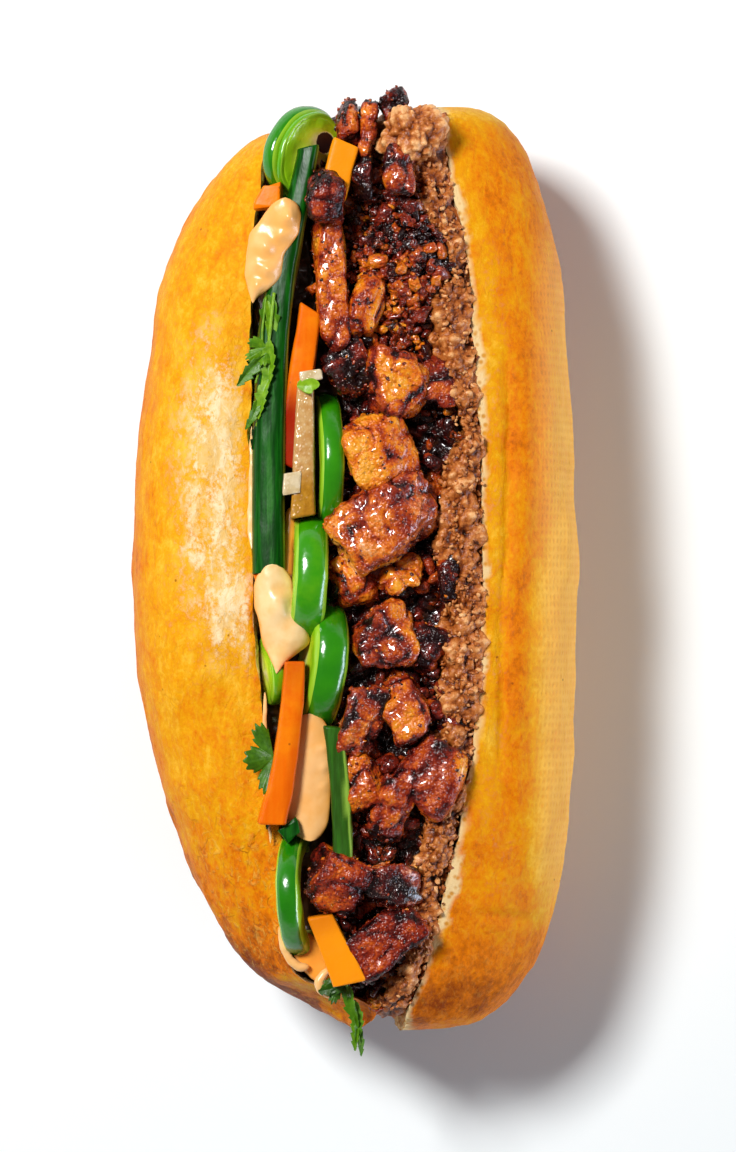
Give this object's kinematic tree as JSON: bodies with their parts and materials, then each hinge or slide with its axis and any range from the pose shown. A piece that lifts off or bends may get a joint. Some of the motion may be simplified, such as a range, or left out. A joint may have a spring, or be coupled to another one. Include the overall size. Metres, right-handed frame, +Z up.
{
  "type": "chicken sandwich",
  "caption": "Long crusty roll split on its hinge and packed open side up with grilled chopped chicken, coarse pâté, pickled vegetables, chilli slices, herbs and sauce",
  "frame": {"origin": "On the table under the middle of the roll's box.", "axes": "+Y runs along the roll to its wider-spread far end, +X points to the half that was the roll's flat base, +Z is up, out of the open side."},
  "size_m": [0.0953, 0.2007, 0.0729],
  "materials": {
    "crust": "golden baked crust, satin where brushed with butter, wrinkled and finely cracked, with pale crumb at the cut lips",
    "pate": "coarse moist tan spread of fine grains",
    "chicken": "caramelised, glazed and charred, amber to dark red-brown, wet and sparkling",
    "mayo": "smooth wet peach-coloured chilli mayonnaise",
    "carrot": "moist cut carrot, bright orange",
    "daikon": "pickled radish, mottled beige and slightly see-through looking",
    "cucumber": "dark green waxy skin with pale flesh at the cut edges",
    "jalapeno": "bright green glossy skin, yellow-green flesh on the cut faces",
    "herb": "fresh thin coriander leaf"
  },
  "bodies": {
    "root": {"carrot_1": "carrot", "carrot_2": "carrot", "carrot_3": "carrot", "carrot_4": "carrot", "carrot_5": "carrot", "chicken_filling": "chicken", "chicken_piece_01": "chicken", "chicken_piece_02": "chicken", "chicken_piece_03": "chicken", "chicken_piece_04": "chicken", "chicken_piece_05": "chicken", "chicken_piece_06": "chicken", "chicken_piece_07": "chicken", "chicken_piece_08": "chicken", "chicken_piece_09": "chicken", "chicken_piece_10": "chicken", "chicken_piece_11": "chicken", "chicken_piece_12": "chicken", "chicken_piece_13": "chicken", "chicken_piece_14": "chicken", "chicken_piece_15": "chicken", "chicken_piece_16": "chicken", "chicken_piece_17": "chicken", "chicken_piece_18": "chicken", "chicken_piece_19": "chicken", "chicken_piece_20": "chicken", "chicken_piece_21": "chicken", "chicken_piece_22": "chicken", "chicken_piece_23": "chicken", "chicken_piece_24": "chicken", "chicken_piece_25": "chicken", "chicken_piece_26": "chicken", "chicken_piece_27": "chicken", "cucumber_spear": "cucumber", "cucumber_stick": "cucumber", "daikon_1": "daikon", "daikon_2": "daikon", "jalapeno_1": "jalapeno", "jalapeno_2": "jalapeno", "jalapeno_3": "jalapeno", "jalapeno_4": "jalapeno", "jalapeno_5": "jalapeno", "jalapeno_6": "jalapeno", "jalapeno_7": "jalapeno", "mayo_dollop": "mayo", "mayo_layer": "mayo", "pate_layer": "pate", "roll": "crust"}
  },
  "joints": []
}
